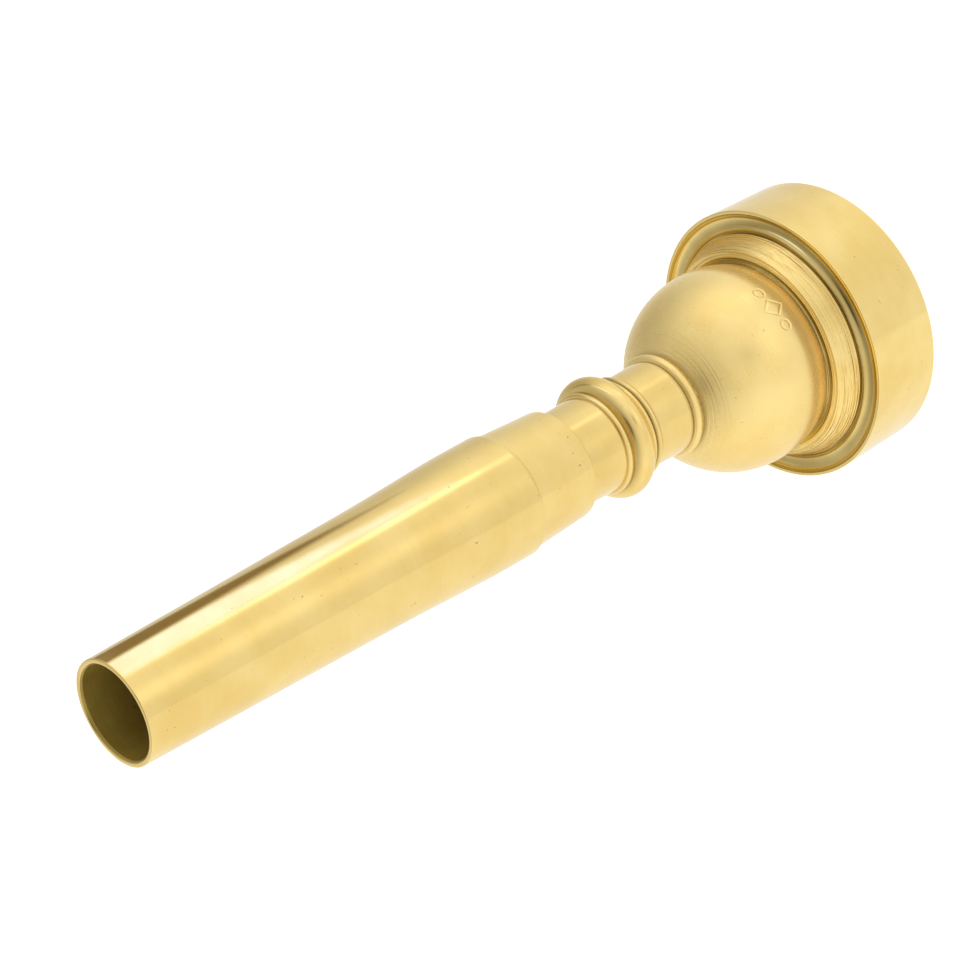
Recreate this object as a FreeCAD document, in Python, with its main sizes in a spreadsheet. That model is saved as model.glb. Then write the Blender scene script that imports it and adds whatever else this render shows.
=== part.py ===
"""Trumpet mouthpiece in six turned pieces that screw together along one axis.

The mouthpiece stands on its rim: +Z runs from the rim to the shank end, and the origin is the centre
of the rim plane. All sizes are in millimetres. From the rim upwards the pieces are
rim             the ring that the lips rest on, with a female thread behind its land
rim_seal        a flat ring in the bottom of the rim's thread
cup             the bowl with the cavity and throat, a male thread below and a socket above
stem_seal       a flat ring in the bottom of the cup's socket
stem            the turned necks, beads and collar, with the backbore inside
shank_sleeve    the tapered shank, soldered over the stem's tube
Both threads are plain cylinders with a running clearance, in place of their helical teeth.
"""
import FreeCAD, Part
import math
import os
import re
import Sketcher

SHEET = "sizes"

# Driving dimensions. Each word is an alias in the document's sheet.
DRIVING_SIZES = {
    # lengths along the axis
    "overall_length": 87.35,
    "rim_height": 8.65,
    "joint_height": 3.55,  # from the rim plane to the face where the cup's spigot ends
    "seat_drop": 0.15,  # from the back of the rim down to the seat of the cup's shoulder
    "ring_width": 2.1,
    "ring_land": 0.25,
    "cup_depth": 11.55,
    "throat_shoulder": 1.8,
    "lip_width": 1.04,
    "neck_one_length": 4.3,
    "thin_bead_width": 0.7,
    "bead_width": 2.4,
    "neck_two_length": 4.4,
    "collar_length": 6.85,
    "socket_depth": 7.5,
    "head_length": 5.0,
    "flare_length": 8.7,
    "sleeve_tail": 15.0,  # how far the sleeve runs on past the end of the stem's tube
    # radii, from the bore outwards
    "throat_radius": 1.83,
    "backbore_start": 1.95,
    "backbore_exit": 4.3,
    "bite_radius": 8.13,
    "bite_rounding": 1.25,
    "cavity_taper": 0.13,
    "cavity_curve": 8.7,
    "shoulder_opening": 0.9,
    "shoulder_curve": 2.4,
    "stem_thread_radius": 3.6,
    "neck_radius": 4.52,
    "neck_flare": 0.11,
    "lip_height": 0.41,
    "lip_step": 0.02,
    "thin_bead_height": 0.25,
    "thin_bead_root": 0.2,
    "bead_root": 0.42,
    "bead_height": 0.95,
    "collar_radius": 5.23,
    "collar_flare": 0.35,
    "tube_radius": 4.7,
    "head_radius": 5.85,
    "head_draft": 0.03,
    "flare_drop": 0.36,
    "shank_end_radius": 4.86,
    "bowl_radius": 9.74,
    "bowl_drop": 3.7,  # from the widest turn of the bowl to the groove behind the ring
    # walls, widths and edges
    "cup_wall": 2.42,
    "ring_shoulder": 0.68,
    "ring_slope": 0.96,
    "ridge_width": 0.45,
    "ridge_height": 0.15,
    "ridge_gap": 0.3,
    "cove_width": 1.85,
    "cove_depth": 0.7,
    "cove_gap": 0.1,
    "rim_edge": 0.31,
    "rim_draft": 0.17,
    "rim_land": 1.8,
    "crown_height": 0.6,
    "thread_relief_width": 0.8,
    "thread_relief_depth": 0.4,
    "thread_lead_in": 0.3,
    "seal_thickness": 0.5,
    "seal_wall": 0.9,
    "seal_bore_gap": 0.3,
    "rim_edge_rounding": 0.25,
    "rim_front_rounding": 0.35,
    "collar_rounding": 0.5,
    "head_rounding": 0.5,
    "shank_end_rounding": 0.18,
    "mouth_chamfer": 0.2,
    # fits
    "thread_clearance": 0.05,
    "seal_clearance": 0.05,
}


def sheet_name(word):
    """Give a driving size its full name in the document, and leave other words alone."""
    return f"{SHEET}.{word}" if word in DRIVING_SIZES else word


def expand(text):
    """Put the sheet's name before each driving size in an expression."""
    return re.sub(r"[a-z_]+", lambda word: sheet_name(word.group()), text)


# Heights up the axis, as expressions of the driving sizes.
SEAT = "(rim_height - seat_drop)"
RING_BACK = "(rim_height + ring_width)"
BOWL_CENTRE = f"({RING_BACK} + bowl_drop)"
LIP_ROOT = "(neck_radius + neck_flare + lip_step)"
LIP_START = f"({BOWL_CENTRE} + sqrt(bowl_radius ^ 2 - {LIP_ROOT} ^ 2))"
STEM_SEAT = f"({LIP_START} + lip_width)"
SOCKET_FLOOR = f"({STEM_SEAT} - socket_depth)"
SPIGOT_END = f"({SOCKET_FLOOR} + seal_thickness)"
BEADS_START = f"({STEM_SEAT} + neck_one_length)"
BIG_BEAD_START = f"({BEADS_START} + 2 * thin_bead_width)"
BIG_BEAD_END = f"({BIG_BEAD_START} + bead_width)"
BEADS_END = f"({BIG_BEAD_END} + thin_bead_width)"
COLLAR_START = f"({BEADS_END} + neck_two_length)"
COLLAR_END = f"({COLLAR_START} + collar_length)"
TUBE_END = "(overall_length - sleeve_tail)"
HEAD_END = f"({COLLAR_END} + head_length)"
FLARE_END = f"({HEAD_END} + flare_length)"
SEAL_POCKET = "(joint_height - seal_thickness)"

# Radii, as expressions of the driving sizes.
MOUTH_RADIUS = "(bite_radius - cavity_taper)"
THREAD_RADIUS = "(bite_radius + cup_wall)"
THREAD_BORE = f"({THREAD_RADIUS} + thread_clearance)"
RING_RADIUS = f"({THREAD_RADIUS} + ring_shoulder)"
BAND_EDGE = f"({RING_RADIUS} - ring_slope)"
GROOVE_RADIUS = "(sqrt(bowl_radius ^ 2 - bowl_drop ^ 2))"
RIDGE_OUTER = f"({BAND_EDGE} - ridge_gap)"
RIDGE_INNER = f"({RIDGE_OUTER} - ridge_width)"
COVE_INNER = f"({RING_RADIUS} + cove_gap)"
COVE_OUTER = f"({COVE_INNER} + cove_width)"
RIM_RADIUS = f"({COVE_OUTER} + rim_edge)"
RIM_FRONT = f"({RIM_RADIUS} - rim_draft)"
LAND_INNER = "(bite_radius + bite_rounding)"
LAND_OUTER = f"({LAND_INNER} + rim_land)"
SEAL_INNER = f"({MOUTH_RADIUS} + seal_wall)"
SHOULDER_RADIUS = "(throat_radius + shoulder_opening)"
THROAT_TOP = "(cup_depth + throat_shoulder)"
SOCKET_RADIUS = "(stem_thread_radius + thread_clearance)"
STEM_SEAL_INNER = "(throat_radius + seal_bore_gap)"
STEM_SEAL_OUTER = "(stem_thread_radius - seal_clearance)"
NECK_WIDE = "(neck_radius + neck_flare)"
THIN_ROOT = "(neck_radius + thin_bead_root)"
BIG_ROOT = "(neck_radius + bead_root)"
COLLAR_WIDE = "(collar_radius + collar_flare)"
BACKBORE_SLOPE = f"((backbore_exit - backbore_start) / (overall_length - {SPIGOT_END}))"
TUBE_BORE = f"(backbore_exit - {BACKBORE_SLOPE} * sleeve_tail)"
HEAD_SHOULDER = "(head_radius - head_draft)"
FLARE_RADIUS = "(head_radius - head_draft - flare_drop)"


def arch(width, height):
    """Give the radius of an arc from its chord and its rise, as an expression."""
    return f"(({width} ^ 2 / 4 + {height} ^ 2) / (2 * {height}))"


def make_sheet(doc):
    """Write the driving sizes into the document's sheet, one aliased cell each."""
    sheet = doc.addObject("Spreadsheet::Sheet", SHEET)
    for row, (word, number) in enumerate(DRIVING_SIZES.items(), start=1):
        sheet.set(f"A{row}", word)
        sheet.set(f"B{row}", str(number))
        sheet.setAlias(f"B{row}", word)
    doc.recompute()
    return sheet


def number_of(doc, text):
    """Work out an expression of the driving sizes."""
    return float(doc.getObject(SHEET).evalExpression(text))


def origin_plane(body, role):
    """Find one of a body's own origin planes."""
    return next(part for part in body.Origin.OriginFeatures if part.Role == role)


def arc_between(start, end, radius, turn):
    """Give the arc from start to end; turn is 1 when it bends to the left and -1 to the right."""
    chord = end - start
    rise = math.sqrt(radius**2 - chord.Length**2 / 4)
    left = FreeCAD.Vector(-chord.y, chord.x, 0) / chord.Length
    centre = (start + end) / 2 + left * rise * turn
    first, last = (start, end) if turn > 0 else (end, start)
    circle = Part.Circle(centre, FreeCAD.Vector(0, 0, 1), radius)
    angles = [math.atan2(point.y - centre.y, point.x - centre.x) for point in (first, last)]
    return Part.ArcOfCircle(circle, angles[0], angles[1])


def bind(sketch, name, constraint, text):
    """Add a constraint whose value follows an expression of the sheet."""
    index = sketch.addConstraint(constraint)
    sketch.renameConstraint(index, name)
    sketch.setExpression(f"Constraints.{name}", expand(text))


def draw_outline(doc, sketch, outline):
    """Draw a closed outline. Each corner is (radius, height) or, when an arc leaves it,
    (radius, height, arc radius, turn)."""
    points = [FreeCAD.Vector(number_of(doc, c[0]), number_of(doc, c[1]), 0) for c in outline]
    ends = []
    for index, corner in enumerate(outline):
        start = points[index]
        end = points[(index + 1) % len(points)]
        if len(corner) == 2:
            edge = sketch.addGeometry(Part.LineSegment(start, end))
            ends.append((edge, 1, 2))
            continue
        edge = sketch.addGeometry(arc_between(start, end, number_of(doc, corner[2]), corner[3]))
        ends.append((edge, 1, 2) if corner[3] > 0 else (edge, 2, 1))
    for index, corner in enumerate(outline):
        edge, near, _ = ends[index]
        last_edge, _, last_far = ends[index - 1]
        sketch.addConstraint(Sketcher.Constraint("Coincident", last_edge, last_far, edge, near))
        across = Sketcher.Constraint("DistanceX", -1, 1, edge, near, points[index].x)
        bind(sketch, f"radius_{index}", across, corner[0])
        if points[index].y == 0:
            sketch.addConstraint(Sketcher.Constraint("PointOnObject", edge, near, -1))
        else:
            up = Sketcher.Constraint("DistanceY", -1, 1, edge, near, points[index].y)
            bind(sketch, f"height_{index}", up, corner[1])
        if len(corner) == 4:
            curve = Sketcher.Constraint("Radius", edge, number_of(doc, corner[2]))
            bind(sketch, f"curve_{index}", curve, corner[2])


def turned_piece(doc, label, outline):
    """Turn a closed outline about the axis into a body of its own."""
    body = doc.addObject("PartDesign::Body", label)
    body.Label = label
    sketch = body.newObject("Sketcher::SketchObject", f"{label}_outline")
    sketch.AttachmentSupport = [(origin_plane(body, "XZ_Plane"), "")]
    sketch.MapMode = "FlatFace"
    draw_outline(doc, sketch, outline)
    turning = body.newObject("PartDesign::Revolution", f"{label}_turning")
    turning.Profile = sketch
    turning.ReferenceAxis = (sketch, ["V_Axis"])
    turning.Angle = 360
    sketch.Visibility = False
    doc.recompute()
    body.Placement = FreeCAD.Placement()
    return body


def edge_at(doc, feature, radius, height):
    """Name the round edge of a feature at a radius and a height."""
    wanted = number_of(doc, radius), number_of(doc, height)
    for index, edge in enumerate(feature.Shape.Edges, start=1):
        if not isinstance(edge.Curve, Part.Circle):
            continue
        found = edge.Curve.Radius, edge.Curve.Center.z
        flat = abs(edge.Curve.Axis.z) > 0.9
        if flat and max(abs(a - b) for a, b in zip(wanted, found)) < 1e-4:
            return f"Edge{index}"
    raise RuntimeError(f"{feature.Label} has no edge at radius {radius}, height {height}")


def dress(doc, body, kind, name, radius, height, size):
    """Round or chamfer one round edge of a body; kind is Fillet or Chamfer."""
    base = body.Tip
    feature = body.newObject(f"PartDesign::{kind}", f"{body.Label}_{name}")
    feature.Base = (base, [edge_at(doc, base, radius, height)])
    feature.setExpression("Radius" if kind == "Fillet" else "Size", expand(size))
    doc.recompute()


def flat_ring(doc, label, inner, outer, height):
    """Make a flat seal ring from two cylinders, standing at a height."""
    cylinders = []
    for name, radius in (("outside", outer), ("inside", inner)):
        cylinder = doc.addObject("Part::Cylinder", f"{label}_{name}")
        cylinder.setExpression("Radius", expand(radius))
        cylinder.setExpression("Height", expand("seal_thickness"))
        cylinders.append(cylinder)
    ring = doc.addObject("Part::Cut", label)
    ring.Label = label
    ring.Base, ring.Tool = cylinders
    ring.setExpression("Placement.Base.z", expand(height))
    doc.recompute()
    return ring


def make_rim(doc):
    """The rim: rounded bite, flat land and crown in front, thread bore and cove behind."""
    crown_width = f"({RIM_FRONT} - {LAND_OUTER})"
    crown_curve = f"(({crown_width} ^ 2 + crown_height ^ 2) / (2 * crown_height))"
    outline = [
        (LAND_INNER, "0"),
        (LAND_OUTER, "0", crown_curve, 1),
        (RIM_FRONT, "crown_height"),
        (RIM_RADIUS, "rim_height"),
        (COVE_OUTER, "rim_height", arch("cove_width", "cove_depth"), -1),
        (COVE_INNER, SEAT),
        (THREAD_BORE, SEAT),
        (THREAD_BORE, SEAL_POCKET),
        (SEAL_INNER, SEAL_POCKET),
        (SEAL_INNER, "joint_height"),
        (MOUTH_RADIUS, "joint_height"),
        ("bite_radius", "bite_rounding", "bite_rounding", 1),
    ]
    rim = turned_piece(doc, "rim", outline)
    dress(doc, rim, "Fillet", "front_rounding", RIM_FRONT, "crown_height", "rim_front_rounding")
    dress(doc, rim, "Fillet", "back_rounding", RIM_RADIUS, "rim_height", "rim_edge_rounding")
    return rim


def make_rim_seal(doc):
    """The flat ring between the rim's pocket and the end of the cup's spigot."""
    inner = f"({SEAL_INNER} + seal_clearance)"
    outer = f"({THREAD_RADIUS} - seal_clearance)"
    return flat_ring(doc, "rim_seal", inner, outer, SEAL_POCKET)


def make_cup(doc):
    """The cup: spigot, ring band, round bowl and lip bead outside; socket, throat and cavity inside."""
    root = f"({THREAD_RADIUS} - thread_relief_depth)"
    ridge = arch("ridge_width", "ridge_height")
    outline = [
        (MOUTH_RADIUS, "joint_height"),
        (f"({THREAD_RADIUS} - thread_lead_in)", "joint_height"),
        (THREAD_RADIUS, "(joint_height + thread_lead_in)"),
        (THREAD_RADIUS, f"({SEAT} - thread_relief_width)"),
        (root, f"({SEAT} - thread_relief_width + thread_relief_depth)"),
        (root, SEAT),
        (RING_RADIUS, SEAT),
        (RING_RADIUS, f"({SEAT} + ring_land)"),
        (BAND_EDGE, RING_BACK),
        (RIDGE_OUTER, f"({RING_BACK} - ridge_height)", ridge, 1),
        (RIDGE_INNER, f"({RING_BACK} - ridge_height)"),
        (GROOVE_RADIUS, RING_BACK, "bowl_radius", 1),
        (LIP_ROOT, LIP_START, arch("lip_width", "lip_height"), 1),
        (LIP_ROOT, STEM_SEAT),
        (SOCKET_RADIUS, STEM_SEAT),
        (SOCKET_RADIUS, SOCKET_FLOOR),
        ("throat_radius", SOCKET_FLOOR),
        ("throat_radius", THROAT_TOP, "shoulder_curve", 1),
        (SHOULDER_RADIUS, "cup_depth", "cavity_curve", -1),
    ]
    return turned_piece(doc, "cup", outline)


def make_stem_seal(doc):
    """The flat ring between the socket's floor and the end of the stem's spigot."""
    return flat_ring(doc, "stem_seal", STEM_SEAL_INNER, STEM_SEAL_OUTER, SOCKET_FLOOR)


def make_stem(doc):
    """The stem: spigot, two necks with beads between them, collar and tube, bored through."""
    root = "(stem_thread_radius - thread_relief_depth)"
    thin_arc = arch("thin_bead_width", "thin_bead_height")
    outline = [
        ("backbore_start", SPIGOT_END),
        ("(stem_thread_radius - thread_lead_in)", SPIGOT_END),
        ("stem_thread_radius", f"({SPIGOT_END} + thread_lead_in)"),
        ("stem_thread_radius", f"({STEM_SEAT} - thread_relief_width)"),
        (root, f"({STEM_SEAT} - thread_relief_width + thread_relief_depth)"),
        (root, STEM_SEAT),
        (NECK_WIDE, STEM_SEAT),
        ("neck_radius", BEADS_START),
        (THIN_ROOT, BEADS_START, thin_arc, 1),
        (THIN_ROOT, f"({BEADS_START} + thin_bead_width)", thin_arc, 1),
        (THIN_ROOT, BIG_BEAD_START),
        (BIG_ROOT, BIG_BEAD_START, arch("bead_width", "bead_height"), 1),
        (BIG_ROOT, BIG_BEAD_END),
        (THIN_ROOT, BIG_BEAD_END, thin_arc, 1),
        (THIN_ROOT, BEADS_END),
        (NECK_WIDE, BEADS_END),
        ("neck_radius", COLLAR_START),
        ("collar_radius", COLLAR_START),
        (COLLAR_WIDE, COLLAR_END),
        ("tube_radius", COLLAR_END),
        ("tube_radius", TUBE_END),
        (TUBE_BORE, TUBE_END),
    ]
    stem = turned_piece(doc, "stem", outline)
    dress(doc, stem, "Fillet", "collar_rounding", "collar_radius", COLLAR_START, "collar_rounding")
    return stem


def make_shank_sleeve(doc):
    """The tapered shank: head, flare and long taper outside; tube seat and backbore end inside."""
    outline = [
        ("tube_radius", COLLAR_END),
        ("head_radius", COLLAR_END),
        (HEAD_SHOULDER, HEAD_END),
        (FLARE_RADIUS, FLARE_END),
        ("shank_end_radius", "overall_length"),
        ("backbore_exit", "overall_length"),
        (TUBE_BORE, TUBE_END),
        ("tube_radius", TUBE_END),
    ]
    sleeve = turned_piece(doc, "shank_sleeve", outline)
    end = ("shank_end_radius", "overall_length", "shank_end_rounding")
    mouth = ("backbore_exit", "overall_length", "mouth_chamfer")
    dress(doc, sleeve, "Fillet", "head_rounding", "head_radius", COLLAR_END, "head_rounding")
    dress(doc, sleeve, "Fillet", "end_rounding", *end)
    dress(doc, sleeve, "Chamfer", "mouth", *mouth)
    return sleeve


def check(doc, pieces):
    """Stop when a feature failed or a piece isn't one valid solid."""
    for item in doc.Objects:
        if "Invalid" in item.State or "Error" in item.State:
            raise RuntimeError(f"{item.Label} failed: {item.State}")
    for piece in pieces:
        shape = piece.Shape
        if shape.isNull() or not shape.isValid() or len(shape.Solids) != 1:
            raise RuntimeError(f"{piece.Label} is not one valid solid")


def main():
    doc = FreeCAD.newDocument("trumpet_mouthpiece")
    make_sheet(doc)
    makers = (make_rim, make_rim_seal, make_cup, make_stem_seal, make_stem, make_shank_sleeve)
    pieces = [make(doc) for make in makers]
    doc.recompute()
    check(doc, pieces)
    os.makedirs("parts", exist_ok=True)
    for piece in pieces:
        piece.Shape.exportStep(f"parts/{piece.Label}.step")
        low, high = piece.Shape.BoundBox.ZMin, piece.Shape.BoundBox.ZMax
        print(f"{piece.Label}: {piece.Shape.Volume:.2f} mm3, height {low:.2f} to {high:.2f}")


main()
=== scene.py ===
import math
import bpy
from mathutils import Matrix, Vector


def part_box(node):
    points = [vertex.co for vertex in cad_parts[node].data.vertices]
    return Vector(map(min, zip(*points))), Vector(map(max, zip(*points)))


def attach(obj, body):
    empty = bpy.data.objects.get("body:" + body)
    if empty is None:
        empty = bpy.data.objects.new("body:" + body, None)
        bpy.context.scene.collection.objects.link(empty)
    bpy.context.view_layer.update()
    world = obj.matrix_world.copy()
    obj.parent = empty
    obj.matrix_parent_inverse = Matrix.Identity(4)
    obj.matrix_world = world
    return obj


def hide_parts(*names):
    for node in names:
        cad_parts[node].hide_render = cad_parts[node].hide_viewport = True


# The looks of a turned brass trumpet mouthpiece that stands on its rim.
#
# Outlines are in millimetres, as (radius, height) from the centre of the rim plane; meshes are in metres.
# Heights and outer radii come from the frame, and the rest are the named sizes below.

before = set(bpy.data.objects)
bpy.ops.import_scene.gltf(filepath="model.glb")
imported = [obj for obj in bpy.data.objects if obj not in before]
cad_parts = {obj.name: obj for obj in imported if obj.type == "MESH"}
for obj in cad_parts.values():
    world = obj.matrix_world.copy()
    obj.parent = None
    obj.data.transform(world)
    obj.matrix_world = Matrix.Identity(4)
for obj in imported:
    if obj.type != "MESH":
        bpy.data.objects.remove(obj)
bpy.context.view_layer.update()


def node_span(node):
    """Give a node's lowest and highest point and its radius, in millimetres."""
    low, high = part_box(node)
    return low[2] * 1000, high[2] * 1000, high[0] * 1000


_, RIM_BACK, RIM_RADIUS = node_span("rim")
JOINT, STEM_SEAT, RING_RADIUS = node_span("cup")
SPIGOT_END, TUBE_END, _ = node_span("stem")
COLLAR_END, LENGTH, HEAD_RADIUS = node_span("shank_sleeve")
SEAL_FLOOR = node_span("rim_seal")[0]
SOCKET_FLOOR = node_span("stem_seal")[0]

# Radii and widths that the boxes don't give
BITE_RADIUS = 8.13
RIM_WALL = 2.42
BITE_ROUNDING = 1.25
LAND_WIDTH = 1.8
CROWN_HEIGHT = 0.6
RIM_FRONT_ROUNDING = 0.35
RIM_BACK_ROUNDING = 0.25
RIM_DRAFT = 0.17
RIM_EDGE = 0.31
COVE_DEPTH = 0.7
COVE_GAP = 0.1
SEAT_DROP = 0.15
SEAL_WALL = 0.9
RING_WIDTH = 2.1
RING_LAND = 0.25
RING_SLOPE = 0.96
RIDGE_WIDTH = 0.45
RIDGE_HEIGHT = 0.15
RIDGE_GAP = 0.3
GROOVE_WIDTH = 0.16
GROOVE_DEPTH = 0.22
BOWL_RADIUS = 9.74
BOWL_DROP = 3.7
LIP_WIDTH = 1.04
LIP_HEIGHT = 0.41
MOUTH_RADIUS = 8.0
CAVITY_ARC = 8.7
CUP_DEPTH = 11.55
THROAT_SHOULDER = 1.8
SHOULDER_ARC = 2.4
SHOULDER_OPENING = 0.9
THROAT_RADIUS = 1.83
BACKBORE_START = 1.95
BACKBORE_EXIT = 4.3
STEM_THREAD_RADIUS = 3.6
CLEARANCE = 0.05
NECK_RADIUS = 4.52
NECK_FLARE = 0.11
NECK_ONE_LENGTH = 4.3
NECK_TWO_LENGTH = 4.4
NECK_INSET = 0.4
THIN_BEAD_WIDTH = 0.7
THIN_BEAD_HEIGHT = 0.25
THIN_BEAD_ROOT = 0.2
BEAD_ROOT = 0.42
BEAD_WIDTH = 2.4
BEAD_HEIGHT = 0.95
COLLAR_RADIUS = 5.23
COLLAR_FLARE = 0.35
COLLAR_ROUNDING = 0.5
TUBE_RADIUS = 4.7
HEAD_LENGTH = 5.0
HEAD_TAPER = 0.03
HEAD_ROUNDING = 0.5
HEAD_BLEND = 2.0
FLARE_LENGTH = 8.7
FLARE_RADIUS = 5.46
FLARE_BLEND = 2.5
SHANK_END_RADIUS = 4.86
SHANK_END_ROUNDING = 0.18
SHANK_LIP = 0.2
THREAD_PITCH = 0.75
THREAD_DEPTH = 0.34
THREAD_ROWS = 8  # mesh rows in one pitch
RUN_OUT = 0.3
RELIEF = 0.8
RELIEF_DEPTH = 0.4
LEAD_IN = 0.3
EDGE = 0.05  # how far an ordinary machined edge is broken
CRISP = 0.02  # the same for a corner where two pieces meet
SEGMENTS = 180
MARK_ANGLE = math.radians(287)
MARK_HEIGHT = 13.95
MARK_REACH = 3.2
MARK_MARGIN = 1.6
MARK_STROKE = 0.10
MARK_DEPTH = 0.06
LOZENGE_HALF = (0.85, 1.1)
LOZENGE_SCALE = 0.67  # turns the lozenge's own measure into millimetres from its side
RING_OFFSET = 1.95
MARK_RING_RADIUS = 0.48


# ---------------------------------------------------------------- outlines

def bow(start, end, rise, steps=14):
    """Give the corners of an arc from start to end that stands out by rise to the right of its way."""
    start, end = Vector(start[:2]), Vector(end[:2])
    chord = end - start
    half = chord.length / 2
    radius = (half ** 2 + rise ** 2) / (2 * abs(rise))
    right = Vector((chord.y, -chord.x)).normalized() * (1 if rise > 0 else -1)
    centre = (start + end) / 2 + right * (abs(rise) - radius)
    sweep = 2 * math.asin(min(1, half / radius)) * (1 if rise > 0 else -1)
    corners = []
    for step in range(steps + 1):
        turn = Matrix.Rotation(sweep * step / steps, 2)
        corners.append((*(centre + turn @ (start - centre)), 0))
    return corners


def arc_rise(start, end, radius):
    """Give the rise of an arc of a known radius over a chord."""
    half = (Vector(end) - Vector(start)).length / 2
    return radius - math.sqrt(radius ** 2 - half ** 2)


def threaded(radius, low, high, cut):
    """Give the rows of a threaded wall; cut is the depth of the thread, outward when positive."""
    rows = math.ceil(abs(high - low) / THREAD_PITCH * THREAD_ROWS)
    corners = []
    for row in range(rows + 1):
        share = row / rows
        fade = min(1, share * 8, (1 - share) * 8)
        corners.append((radius, low + (high - low) * share, 0, cut * fade))
    return corners


def soften(corners):
    """Round each corner by its third value, with a row beside the rounding that keeps the flats flat."""
    rows = []
    for index, corner in enumerate(corners):
        point = Vector(corner[:2])
        rounding = corner[2] if len(corner) > 2 else EDGE
        cut = corner[3] if len(corner) > 3 else 0
        back = Vector(corners[index - 1][:2]) - point
        ahead = Vector(corners[(index + 1) % len(corners)][:2]) - point
        size = min(rounding, back.length * 0.3, ahead.length * 0.3)
        if size < 0.004:
            rows.append((point.x, point.y, cut))
            continue
        first = point + back.normalized() * size
        last = point + ahead.normalized() * size
        rows.append((*(first + back.normalized() * size * 0.5), cut))
        for step in range(6):
            t = step / 5
            rows.append((*(first * (1 - t) ** 2 + point * 2 * t * (1 - t) + last * t ** 2), cut))
        rows.append((*(last + ahead.normalized() * size * 0.5), cut))
    return rows


# ---------------------------------------------------------------- meshes

def turn(name, corners, angles=None, carve=None):
    """Turn a closed outline about the axis into a smooth mesh."""
    rows = soften(corners)
    angles = angles or [2 * math.pi * step / SEGMENTS for step in range(SEGMENTS)]
    points = []
    for radius, height, cut in rows:
        for angle in angles:
            phase = height / THREAD_PITCH - angle / (2 * math.pi)
            reach = radius + cut * (0.5 - 0.5 * math.cos(2 * math.pi * phase))
            if carve:
                reach -= carve(radius, height, angle)
            points.append((reach * math.cos(angle) / 1000, reach * math.sin(angle) / 1000, height / 1000))
    around = len(angles)
    faces = []
    for row in range(len(rows)):
        above = (row + 1) % len(rows)
        for step in range(around):
            beside = (step + 1) % around
            low, high = row * around, above * around
            faces.append((low + step, low + beside, high + beside, high + step))
    mesh = bpy.data.meshes.new(name)
    mesh.from_pydata(points, [], faces)
    mesh.validate()
    mesh.shade_smooth()
    piece = bpy.data.objects.new(name, mesh)
    bpy.context.scene.collection.objects.link(piece)
    return piece


def make_rim():
    """The rim: lip face and crown in front, cove behind, female thread inside."""
    thread = BITE_RADIUS + RIM_WALL + CLEARANCE
    cove_inner = RING_RADIUS + COVE_GAP
    cove_outer = RIM_RADIUS - RIM_EDGE
    front = RIM_RADIUS - RIM_DRAFT
    seat = RIM_BACK - SEAT_DROP
    land = BITE_RADIUS + BITE_ROUNDING
    land_end = land + LAND_WIDTH
    crown_width = front - land_end
    crown_radius = (crown_width ** 2 + CROWN_HEIGHT ** 2) / (2 * CROWN_HEIGHT)
    crown_start, crown_end = (land_end, 0), (front, CROWN_HEIGHT)
    crown = bow(crown_start, crown_end, arc_rise(crown_start, crown_end, crown_radius))
    bite = bow((BITE_RADIUS, BITE_ROUNDING), (land, 0), BITE_ROUNDING * (1 - math.sqrt(0.5)))
    corners = [
        *crown[:-1],
        (front, CROWN_HEIGHT, RIM_FRONT_ROUNDING),
        (RIM_RADIUS, RIM_BACK, RIM_BACK_ROUNDING),
        (cove_outer, RIM_BACK, 0.08),
        *bow((cove_outer, RIM_BACK), (cove_inner, seat), -COVE_DEPTH, 24)[1:-1],
        (cove_inner, seat, EDGE),
        (thread, seat, EDGE),
        *threaded(thread, seat - RUN_OUT, SEAL_FLOOR + 0.5, THREAD_DEPTH),
        (thread, SEAL_FLOOR, EDGE),
        (MOUTH_RADIUS + SEAL_WALL, SEAL_FLOOR, EDGE),
        (MOUTH_RADIUS + SEAL_WALL, JOINT, EDGE),
        (MOUTH_RADIUS, JOINT, CRISP),
        *bite[:-1],
    ]
    return turn("rim_turned", corners)


def mark_angles():
    """Angles round the cup, close together where the ornament is engraved."""
    plain = [2 * math.pi * step / SEGMENTS for step in range(SEGMENTS)]
    reach = MARK_REACH / BOWL_RADIUS
    close = [MARK_ANGLE - reach + 2 * reach * step / 76 for step in range(77)]
    return sorted([angle for angle in plain if abs(angle - MARK_ANGLE) > reach] + close)


def engraving(radius, height, angle):
    """Depth of a plain lozenge between two small rings, cut into the bowl."""
    across = (angle - MARK_ANGLE) * BOWL_RADIUS
    up = height - MARK_HEIGHT
    if abs(across) > MARK_REACH or abs(up) > MARK_MARGIN or radius < BOWL_RADIUS * 0.8:
        return 0
    wide, tall = LOZENGE_HALF
    lozenge = abs(abs(across) / wide + abs(up) / tall - 1) * LOZENGE_SCALE
    ring = abs(math.hypot(abs(across) - RING_OFFSET, up) - MARK_RING_RADIUS)
    return MARK_DEPTH * max(0, 1 - min(lozenge, ring) / MARK_STROKE) ** 0.6


def groove_radius():
    """Give the radius at which the bowl meets the groove."""
    return math.sqrt(BOWL_RADIUS ** 2 - BOWL_DROP ** 2)


def bowl_corners(start, end):
    """Give the bowl's arc, with its rows close together only where the ornament is."""
    arc = bow(start, end, arc_rise(start, end, BOWL_RADIUS), 231)
    near = MARK_MARGIN + 0.1
    return [corner for row, corner in enumerate(arc) if row % 3 == 0 or abs(corner[1] - MARK_HEIGHT) < near]


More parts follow.
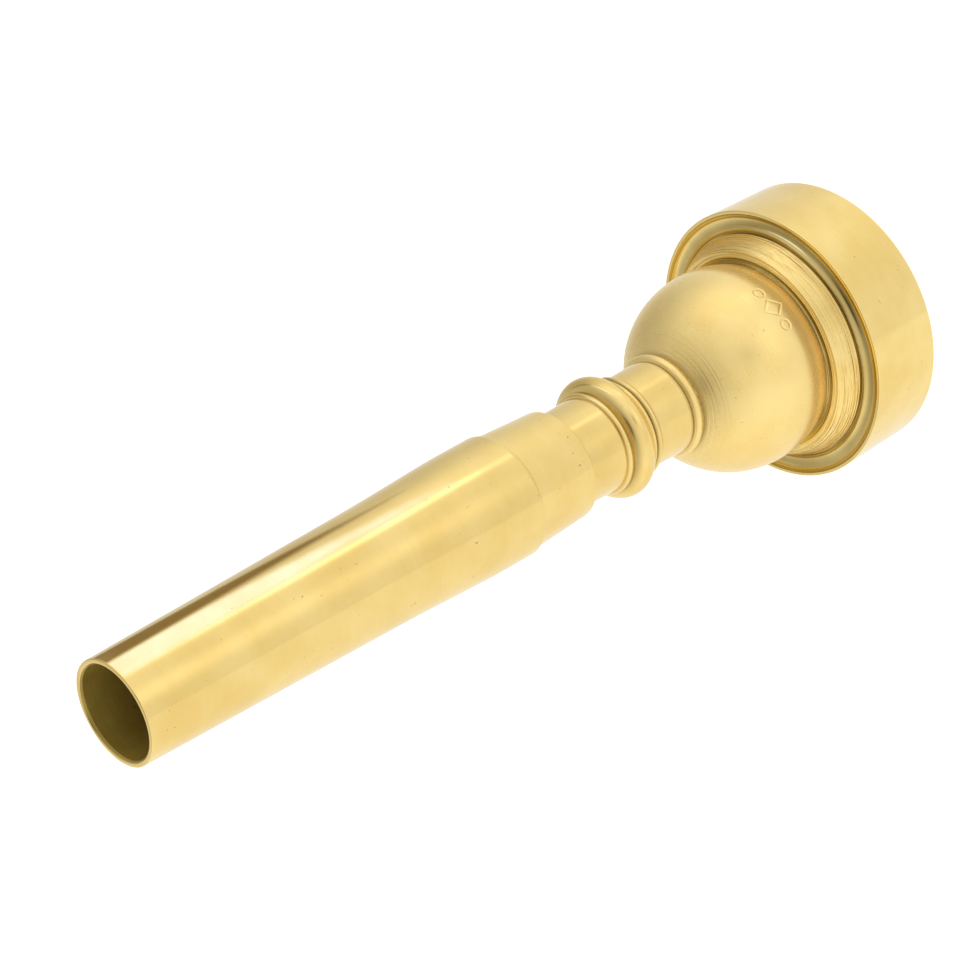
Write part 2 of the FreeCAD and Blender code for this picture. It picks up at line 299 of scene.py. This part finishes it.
def make_cup():
    """The cup: spigot, ring band and bowl outside, socket, throat and cavity inside."""
    thread = BITE_RADIUS + RIM_WALL
    seat = RIM_BACK - SEAT_DROP
    ring_back = RIM_BACK + RING_WIDTH
    root = thread - RELIEF_DEPTH
    band_edge = RING_RADIUS - RING_SLOPE
    ridge_outer = (band_edge - RIDGE_GAP, ring_back - RIDGE_HEIGHT)
    ridge_inner = (ridge_outer[0] - RIDGE_WIDTH, ridge_outer[1])
    groove = (groove_radius(), ring_back)
    lip_root = NECK_RADIUS + NECK_FLARE + 0.02
    lip_start = (lip_root, STEM_SEAT - LIP_WIDTH)
    throat_top = (THROAT_RADIUS, CUP_DEPTH + THROAT_SHOULDER)
    shoulder = (THROAT_RADIUS + SHOULDER_OPENING, CUP_DEPTH)
    mouth = (MOUTH_RADIUS, JOINT)
    socket = STEM_THREAD_RADIUS + CLEARANCE
    corners = [
        (*mouth, CRISP),
        (thread - LEAD_IN, JOINT),
        (thread, JOINT + LEAD_IN),
        *threaded(thread, JOINT + LEAD_IN + 0.1, seat - RELIEF - 0.1, -THREAD_DEPTH),
        (thread, seat - RELIEF),
        (root, seat - RELIEF + RELIEF_DEPTH),
        (root, seat),
        (RING_RADIUS, seat),
        (RING_RADIUS, seat + RING_LAND),
        (band_edge, ring_back, 0.04),
        *bow(ridge_outer, ridge_inner, RIDGE_HEIGHT, 10),
        (groove[0] + GROOVE_WIDTH, ring_back - GROOVE_DEPTH, 0.08),
        *bowl_corners(groove, lip_start),
        *bow(lip_start, (lip_root, STEM_SEAT), LIP_HEIGHT, 18),
        (socket, STEM_SEAT),
        *threaded(socket, STEM_SEAT - RUN_OUT, SOCKET_FLOOR + 0.8, THREAD_DEPTH),
        (socket, SOCKET_FLOOR),
        (THROAT_RADIUS, SOCKET_FLOOR),
        *bow(throat_top, shoulder, arc_rise(throat_top, shoulder, SHOULDER_ARC), 12),
        *bow(shoulder, mouth, -arc_rise(shoulder, mouth, CAVITY_ARC), 40)[1:-1],
    ]
    return turn("cup_turned", corners, mark_angles(), engraving)


def bead(radius, low, width, height, steps):
    """Give the corners of one rounded bead."""
    return bow((radius, low), (radius, low + width), height, steps)


def neck(low, high):
    """Give the corners of a straight neck, with a row near each end so that the painted crease shade there
    stays narrow.
    """
    start, end = Vector(low[:2]), Vector(high[:2])
    inset = NECK_INSET / (end - start).length
    return [low, (*start.lerp(end, inset), 0), (*end.lerp(start, inset), 0), high]


def backbore(height):
    """Give the radius of the backbore at a height."""
    share = (height - SPIGOT_END) / (LENGTH - SPIGOT_END)
    return BACKBORE_START + (BACKBORE_EXIT - BACKBORE_START) * share


def make_stem():
    """The stem: spigot, necks, beads, collar and tube, with the backbore inside."""
    root = STEM_THREAD_RADIUS - RELIEF_DEPTH
    beads = STEM_SEAT + NECK_ONE_LENGTH
    big = beads + 2 * THIN_BEAD_WIDTH
    big_end = big + BEAD_WIDTH
    beads_end = big_end + THIN_BEAD_WIDTH
    collar = beads_end + NECK_TWO_LENGTH
    thin = NECK_RADIUS + THIN_BEAD_ROOT
    wide = NECK_RADIUS + NECK_FLARE
    corners = [
        (BACKBORE_START, SPIGOT_END),
        (STEM_THREAD_RADIUS - LEAD_IN, SPIGOT_END),
        (STEM_THREAD_RADIUS, SPIGOT_END + LEAD_IN),
        *threaded(STEM_THREAD_RADIUS, SPIGOT_END + LEAD_IN + 0.1, STEM_SEAT - RELIEF - 0.1, -THREAD_DEPTH),
        (STEM_THREAD_RADIUS, STEM_SEAT - RELIEF),
        (root, STEM_SEAT - RELIEF + RELIEF_DEPTH),
        (root, STEM_SEAT),
        *neck((wide, STEM_SEAT, 0.12), (NECK_RADIUS, beads, 0.03)),
        *bead(thin, beads, THIN_BEAD_WIDTH, THIN_BEAD_HEIGHT, 10),
        *bead(thin, beads + THIN_BEAD_WIDTH, THIN_BEAD_WIDTH, THIN_BEAD_HEIGHT, 10),
        *bead(NECK_RADIUS + BEAD_ROOT, big, BEAD_WIDTH, BEAD_HEIGHT, 32),
        *bead(thin, big_end, THIN_BEAD_WIDTH, THIN_BEAD_HEIGHT, 10),
        *neck((wide, beads_end, 0.03), (NECK_RADIUS, collar, 0.03)),
        (COLLAR_RADIUS, collar, COLLAR_ROUNDING),
        (COLLAR_RADIUS + COLLAR_FLARE, COLLAR_END, CRISP),
        (TUBE_RADIUS, COLLAR_END, CRISP),
        (TUBE_RADIUS, TUBE_END, CRISP),
        (backbore(TUBE_END), TUBE_END, CRISP),
    ]
    return turn("stem_turned", corners)


def make_sleeve():
    """The shank: rounded head, flare and long taper, with the end of the backbore inside."""
    head_end = COLLAR_END + HEAD_LENGTH
    flare_end = head_end + FLARE_LENGTH
    corners = [
        (TUBE_RADIUS, COLLAR_END, CRISP),
        (HEAD_RADIUS, COLLAR_END, HEAD_ROUNDING),
        (HEAD_RADIUS - HEAD_TAPER, head_end, HEAD_BLEND),
        (FLARE_RADIUS, flare_end, FLARE_BLEND),
        (SHANK_END_RADIUS, LENGTH, SHANK_END_ROUNDING),
        (BACKBORE_EXIT + SHANK_LIP, LENGTH, 0.06),
        (BACKBORE_EXIT - 0.01, LENGTH - SHANK_LIP, 0.06),
        (backbore(TUBE_END), TUBE_END, CRISP),
        (TUBE_RADIUS, TUBE_END, CRISP),
    ]
    return turn("shank_sleeve_turned", corners)


# ---------------------------------------------------------------- materials

def wire(tree, kind, inputs=None, **settings):
    """Add a node, set its own settings, and link or set its inputs."""
    node = tree.nodes.new(kind)
    for word, value in settings.items():
        setattr(node, word, value)
    for socket, value in (inputs or {}).items():
        if isinstance(value, bpy.types.NodeSocket):
            tree.links.new(value, node.inputs[socket])
        else:
            node.inputs[socket].default_value = value
    return node


def sums(tree, operation, *values):
    """Give the result of one math step."""
    node = wire(tree, "ShaderNodeMath", dict(enumerate(values)), operation=operation)
    return node.outputs[0]


def lathe_coordinates(tree, scale, drift):
    """Give coordinates that are the same all round the axis apart from a slow drift."""
    place = wire(tree, "ShaderNodeTexCoord").outputs["Object"]
    split = wire(tree, "ShaderNodeSeparateXYZ", {0: place}).outputs
    around = sums(tree, "ARCTAN2", split["Y"], split["X"])
    square = sums(tree, "MULTIPLY", split["X"], split["X"])
    radius = sums(tree, "SQRT", sums(tree, "MULTIPLY_ADD", split["Y"], split["Y"], square))
    along = sums(tree, "MULTIPLY", split["Z"], scale)
    out = sums(tree, "MULTIPLY", radius, scale)
    slow = sums(tree, "MULTIPLY", sums(tree, "SINE", around), drift)
    return wire(tree, "ShaderNodeCombineXYZ", {"X": out, "Y": along, "Z": slow}).outputs[0]


def noise(tree, vector, scale, detail):
    """Give one noise value."""
    inputs = {"Vector": vector, "Scale": scale, "Detail": detail}
    return wire(tree, "ShaderNodeTexNoise", inputs).outputs[0]


def spread(tree, value, low, high, to_low, to_high):
    """Map a value from one span to another."""
    inputs = {"Value": value, "From Min": low, "From Max": high, "To Min": to_low, "To Max": to_high}
    return wire(tree, "ShaderNodeMapRange", inputs).outputs[0]


def brass(name, polish, grain, tints, tooling=None, streak=0.0, metal=1.0):
    """Make turned brass: tool lines round the axis, cloudy polish, small pits, and painted shade in the
    creases.

    polish is the least and most roughness, and grain the height of the tool lines in metres. tooling adds
    coarse tool rings: the heights between which they fade in, and their depth. streak stretches the gloss.
    """
    material = bpy.data.materials.new(name)
    material.use_nodes = True
    tree = material.node_tree
    shader = tree.nodes["Principled BSDF"]
    place = wire(tree, "ShaderNodeTexCoord").outputs["Object"]
    turned = lathe_coordinates(tree, 1000, 0.4)
    lines = noise(tree, turned, 9.0, 5)
    clouds = noise(tree, place, 190, 4)
    pit = spread(tree, noise(tree, place, 2600, 2), 0.71, 0.78, 0, 1)
    mottle = sums(tree, "MULTIPLY_ADD", lines, 0.2, sums(tree, "MULTIPLY", clouds, 0.8))
    inputs = {0: spread(tree, mottle, 0.38, 0.62, 0, 1), 6: tints[0], 7: tints[1]}
    colour = wire(tree, "ShaderNodeMix", inputs, data_type="RGBA").outputs[2]
    # Painted shade: the crease attribute darkens the creases towards the third tint, as the shade that falls
    # there.
    crease_shade = wire(tree, "ShaderNodeAttribute", attribute_name="crease_shade").outputs["Fac"]
    crease_shade = sums(tree, "MULTIPLY", crease_shade, spread(tree, clouds, 0.3, 0.6, 0.7, 1.0))
    # The third tint is mixed in at the real pits and as the painted crease shade.
    inputs = {0: sums(tree, "MAXIMUM", sums(tree, "MULTIPLY", pit, 0.6), crease_shade), 6: colour, 7: tints[2]}
    pits_and_crease_shade = wire(tree, "ShaderNodeMix", inputs, data_type="RGBA").outputs[2]
    tree.links.new(pits_and_crease_shade, shader.inputs["Base Color"])
    tree.links.new(spread(tree, mottle, 0.3, 0.7, *polish), shader.inputs["Roughness"])
    relief = sums(tree, "MULTIPLY", sums(tree, "MULTIPLY_ADD", pit, -0.6, lines), grain)
    if tooling:
        low, high, depth = tooling
        height = wire(tree, "ShaderNodeSeparateXYZ", {0: place}).outputs["Z"]
        fade = spread(tree, height, low, high, 0, depth)
        relief = sums(tree, "MULTIPLY_ADD", noise(tree, turned, 4.5, 3), fade, relief)
    bump = wire(tree, "ShaderNodeBump", {"Height": relief, "Strength": 1.0, "Distance": 1.0})
    tree.links.new(bump.outputs[0], shader.inputs["Normal"])
    shader.inputs["Metallic"].default_value = metal
    if streak:
        shader.inputs["Anisotropic"].default_value = streak
        shader.inputs["Anisotropic Rotation"].default_value = 0.25
        tangent = wire(tree, "ShaderNodeTangent", direction_type="RADIAL", axis="Z")
        tree.links.new(tangent.outputs[0], shader.inputs["Tangent"])
    return material


def seal_material():
    """Make the off-white plastic of the seal rings."""
    material = bpy.data.materials.new("seal_plastic")
    material.use_nodes = True
    tree = material.node_tree
    shader = tree.nodes["Principled BSDF"]
    place = wire(tree, "ShaderNodeTexCoord").outputs["Object"]
    inputs = {0: noise(tree, place, 900, 3), 6: (0.72, 0.70, 0.64, 1), 7: (0.82, 0.81, 0.77, 1)}
    tint = wire(tree, "ShaderNodeMix", inputs, data_type="RGBA").outputs[2]
    tree.links.new(tint, shader.inputs["Base Color"])
    shader.inputs["Roughness"].default_value = 0.5
    return material


# Each tint set: two brass tones, then the dark mixed in at pits and as painted shade in the creases.
BRASS = ((0.98, 0.75, 0.30, 1), (0.92, 0.67, 0.23, 1), (0.24, 0.185, 0.055, 1))
DEEP_BRASS = ((0.93, 0.70, 0.27, 1), (0.87, 0.625, 0.21, 1), (0.24, 0.185, 0.055, 1))
TARNISH = ((0.50, 0.36, 0.07, 1), (0.32, 0.21, 0.03, 1), (0.12, 0.07, 0.02, 1))


def paint_crease_shade(piece, creases):
    """Write how much painted shade each point gets by how deep in a crease it lies; a crease is a radius, a
    height, a reach and a strength.
    """
    crease_shade = piece.data.attributes.new("crease_shade", "FLOAT", "POINT")
    for index, point in enumerate(piece.data.vertices):
        radius, height = math.hypot(point.co.x, point.co.y) * 1000, point.co.z * 1000
        depth = 0
        for at_radius, at_height, reach, strength in creases:
            away = math.hypot(radius - at_radius, height - at_height) / reach
            depth = max(depth, strength * max(0, 1 - away))
        crease_shade.data[index].value = depth


def finish_piece(piece, node, body, materials, choose):
    """Stand a piece in for its node, and give each face one of the materials.

    choose takes a face's radius and height in millimetres and whether it faces the axis.
    """
    for material in materials:
        piece.data.materials.append(material)
    for face in piece.data.polygons:
        centre, normal = face.center, face.normal
        inward = centre.x * normal.x + centre.y * normal.y < 0
        face.material_index = choose(math.hypot(centre.x, centre.y) * 1000, centre.z * 1000, inward)
    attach(piece, body)
    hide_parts(node)


# ---------------------------------------------------------------- studio

CAMERA_DISTANCE = 0.27371
CAMERA_ELEVATION = math.radians(34.68)
CAMERA_ROLL = math.radians(-119.23)
CAMERA_SHIFT = (-0.002176, -0.000156)
CAMERA_AIM = 0.04235
CAMERA_LENS = 113.9
FLOOR_REACH = 30.0


def make_camera():
    """Look down on the shank end, rolled so that the shank lies to the lower left."""
    aim = Vector((0, 0, CAMERA_AIM))
    away = Vector((0, -math.cos(CAMERA_ELEVATION), math.sin(CAMERA_ELEVATION)))
    turned = away.to_track_quat("Z", "Y").to_matrix() @ Matrix.Rotation(CAMERA_ROLL, 3, "Z")
    place = aim + away * CAMERA_DISTANCE + turned @ Vector((*CAMERA_SHIFT, 0))
    data = bpy.data.cameras.new("camera")
    data.lens = CAMERA_LENS
    data.sensor_width = 36
    data.clip_start = 0.01
    camera = bpy.data.objects.new("camera", data)
    camera.matrix_world = Matrix.Translation(place) @ turned.to_4x4()
    bpy.context.scene.collection.objects.link(camera)
    bpy.context.scene.camera = camera


def make_light():
    """Hang one weak soft box above the mouthpiece; the brass mirrors the tent instead of it."""
    data = bpy.data.lights.new("soft_box", "AREA")
    data.size = 0.3
    data.energy = 0.3
    light = bpy.data.objects.new("soft_box", data)
    light.location = (-0.25, -0.35, 0.6)
    light.rotation_euler = (light.location - Vector((0, 0, CAMERA_AIM))).to_track_quat("Z", "Y").to_euler()
    light.visible_glossy = False
    bpy.context.scene.collection.objects.link(light)


def make_floor():
    """Lay a plain white floor under the rim."""
    reach = FLOOR_REACH
    mesh = bpy.data.meshes.new("floor")
    corners = [(-reach, -reach, 0), (reach, -reach, 0), (reach, reach, 0), (-reach, reach, 0)]
    mesh.from_pydata(corners, [], [(0, 1, 2, 3)])
    floor = bpy.data.objects.new("floor", mesh)
    bpy.context.scene.collection.objects.link(floor)
    material = bpy.data.materials.new("floor_white")
    material.use_nodes = True
    shader = material.node_tree.nodes["Principled BSDF"]
    shader.inputs["Base Color"].default_value = (0.9, 0.9, 0.9, 1)
    shader.inputs["Roughness"].default_value = 0.9
    shader.inputs["Emission Color"].default_value = (1, 1, 1, 1)
    shader.inputs["Emission Strength"].default_value = 0.7
    floor.data.materials.append(material)
    floor.visible_glossy = False


# The light tent: its plain level, then each brighter or darker area as azimuth, elevation, sharpness and
# strength
TENT_LEVEL = 1.0
TENT_AREAS = (
    (112, -8, 14, 0.30),
    (125, -30, 360, 0.85),
    (176, -20, 30, 0.28),
    (178, 12, 60, -0.42),
    (-170, 74, 60, -0.60),
    (50, 0, 3.5, -0.58),
    (174, -47, 10, -0.08),
    (0, 90, 2.2, -0.68),
    (-90, 30, 4, 0.20),
)
SEAM_AZIMUTH = -141

# Studio cards beside the shank: each corner's azimuth in degrees and its distance from the axis
DARK_CARD = ((78, 0.038), (80, 0.074), (36, 0.074), (52, 0.052))
PALE_CARD = ((118, 0.036), (84, 0.060), (84, 0.076), (128, 0.076))
CARD_ROOT = 0.018
CARD_SLOPE = 0.53
CARD_FADE = 0.28


def compass(azimuth, elevation):
    """Give the unit vector at an azimuth, 0 along +Y and 90 along +X, and an elevation, in degrees."""
    azimuth, elevation = math.radians(azimuth), math.radians(elevation)
    level = math.cos(elevation)
    return Vector((math.sin(azimuth) * level, math.cos(azimuth) * level, math.sin(elevation)))


def make_world():
    """Surround the scene with a pale light tent that is unevenly bright."""
    world = bpy.data.worlds.new("tent")
    bpy.context.scene.world = world
    world.use_nodes = True
    tree = world.node_tree
    direction = wire(tree, "ShaderNodeTexCoord").outputs["Generated"]
    strength = TENT_LEVEL
    for azimuth, elevation, sharpness, change in TENT_AREAS:
        inputs = {0: direction, 1: compass(azimuth, elevation)}
        facing = wire(tree, "ShaderNodeVectorMath", inputs, operation="DOT_PRODUCT").outputs["Value"]
        area = sums(tree, "POWER", sums(tree, "MAXIMUM", facing, 0.0), sharpness)
        strength = sums(tree, "MULTIPLY_ADD", area, change, strength)
    beside = {0: direction, 1: compass(SEAM_AZIMUTH + 90, 0)}
    offset = wire(tree, "ShaderNodeVectorMath", beside, operation="DOT_PRODUCT").outputs["Value"]
    ahead = {0: direction, 1: compass(SEAM_AZIMUTH, -30)}
    near = wire(tree, "ShaderNodeVectorMath", ahead, operation="DOT_PRODUCT").outputs["Value"]
    panel = spread(tree, offset, -0.02, 0.02, -0.07, 0.0)
    line = spread(tree, sums(tree, "ABSOLUTE", offset), 0.0, 0.03, -0.10, 0.0)
    seam = sums(tree, "POWER", sums(tree, "MAXIMUM", near, 0.0), 3.0)
    strength = sums(tree, "MULTIPLY_ADD", sums(tree, "ADD", panel, line), seam, strength)
    back = tree.nodes["Background"]
    back.inputs["Color"].default_value = (1, 1, 1, 1)
    tree.links.new(sums(tree, "MAXIMUM", strength, 0.10), back.inputs["Strength"])


def make_card(name, corners, colour, glow):
    """Hang a studio card with a soft rim, which the shank mirrors and the camera doesn't see.

    It leans towards the bowl, which therefore sees only its edge.
    """
    points = []
    for azimuth, distance in corners:
        out = compass(azimuth, 0) * distance
        points.append(Vector((out.x, out.y, CARD_ROOT + distance * CARD_SLOPE)))
    count = len(points)
    middle = sum(points, Vector()) / count
    outer = [middle.lerp(point, 1 + CARD_FADE) for point in points]
    inner = [middle.lerp(point, 1 - CARD_FADE) for point in points]
    faces = [tuple(range(count, 2 * count))]
    for step in range(count):
        beside = (step + 1) % count
        faces.append((step, beside, count + beside, count + step))
    mesh = bpy.data.meshes.new(name)
    mesh.from_pydata(outer + inner, [], faces)
    solid = mesh.attributes.new("solid", "FLOAT", "POINT")
    for index in range(count):
        solid.data[count + index].value = 1.0
    card = bpy.data.objects.new(name, mesh)
    bpy.context.scene.collection.objects.link(card)
    material = bpy.data.materials.new(name)
    material.use_nodes = True
    tree = material.node_tree
    shader = tree.nodes["Principled BSDF"]
    shader.inputs["Base Color"].default_value = colour
    shader.inputs["Roughness"].default_value = 0.9
    shader.inputs["Emission Color"].default_value = colour
    shader.inputs["Emission Strength"].default_value = glow
    fade = wire(tree, "ShaderNodeAttribute", attribute_name="solid").outputs["Fac"]
    tree.links.new(fade, shader.inputs["Alpha"])
    card.data.materials.append(material)
    card.visible_camera = False
    card.visible_shadow = False


def shade_rim_creases(rim):
    """Paint shade into the bottom of the rim's cove and the seat beside the cup."""
    seat = RING_RADIUS + COVE_GAP
    paint_crease_shade(rim, [
        (seat, RIM_BACK - SEAT_DROP, 0.7, 0.8),
        (seat + 0.7, RIM_BACK - COVE_DEPTH, 1.2, 0.55),
    ])


def shade_cup_creases(cup):
    """Paint shade into the cup's groove, its seat on the rim and the root of the lip bead."""
    paint_crease_shade(cup, [
        (groove_radius() + GROOVE_WIDTH, RIM_BACK + RING_WIDTH - 0.2, 0.4, 0.8),
        (RING_RADIUS, RIM_BACK - SEAT_DROP, 0.3, 0.9),
        (NECK_RADIUS + NECK_FLARE, STEM_SEAT - LIP_WIDTH, 0.7, 0.8),
    ])


def shade_stem_creases(stem):
    """Paint shade into the ends of the stem's necks and the roots of its beads."""
    beads = STEM_SEAT + NECK_ONE_LENGTH
    big = beads + 2 * THIN_BEAD_WIDTH
    collar = big + BEAD_WIDTH + THIN_BEAD_WIDTH + NECK_TWO_LENGTH
    root = NECK_RADIUS + THIN_BEAD_ROOT
    paint_crease_shade(stem, [
        (NECK_RADIUS + NECK_FLARE, STEM_SEAT, 0.35, 0.9),
        (NECK_RADIUS + 0.1, collar, 0.45, 0.9),
        *((root, height, 0.36, 0.95) for height in (beads, beads + THIN_BEAD_WIDTH, big, big + BEAD_WIDTH)),
    ])


def make_mouthpiece():
    """Build and finish the four brass pieces, and give the seals their plastic."""
    rim, cup, stem, sleeve = make_rim(), make_cup(), make_stem(), make_sleeve()
    polished = brass("brass_polished", (0.10, 0.17), 5e-7, BRASS)
    lathed = brass("brass_lathed", (0.10, 0.17), 5e-7, DEEP_BRASS, metal=0.87)
    mirror = brass("brass_mirror", (0.09, 0.14), 1.5e-7, DEEP_BRASS)
    lip = STEM_SEAT / 1000
    satin = brass("brass_satin", (0.23, 0.31), 4e-7, BRASS, (lip - 0.0034, lip - 0.0014, 6e-5), metal=0.72)
    brushed = brass("brass_brushed", (0.16, 0.28), 1.2e-5, BRASS, (0, 0.001, 1.1e-4), 0.5)
    tarnished = brass("brass_tarnished", (0.30, 0.45), 4e-6, TARNISH, metal=0.5)
    # Paint shade into the creases of the rim, cup and stem.
    shade_rim_creases(rim)
    shade_cup_creases(cup)
    shade_stem_creases(stem)
    band_top = RIM_BACK + RING_WIDTH
    finish_piece(rim, "rim", "rim", [polished], lambda radius, height, inward: 0)
    finish_piece(cup, "cup", "cup", [satin, brushed, polished],
                 lambda radius, height, inward: 2 if inward else int(height < band_top))
    finish_piece(stem, "stem", "stem", [lathed, tarnished],
                 lambda radius, height, inward: int(inward and radius < BACKBORE_EXIT))
    finish_piece(sleeve, "shank_sleeve", "stem", [mirror, tarnished],
                 lambda radius, height, inward: int(inward and radius < BACKBORE_EXIT + 0.1))
    plastic = seal_material()
    for node in ("rim_seal", "stem_seal"):
        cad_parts[node].data.materials.clear()
        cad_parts[node].data.materials.append(plastic)


def make_studio():
    """Set up the floor, the tent, the soft box, the two cards and the camera."""
    make_floor()
    make_world()
    make_light()
    make_card("card_brown", DARK_CARD, (0.24, 0.19, 0.12, 1), 0.3)
    make_card("card_cool", PALE_CARD, (0.48, 0.58, 1.0, 1), 1.8)
    make_camera()
    bpy.context.scene.view_settings.view_transform = "Standard"


make_mouthpiece()
make_studio()
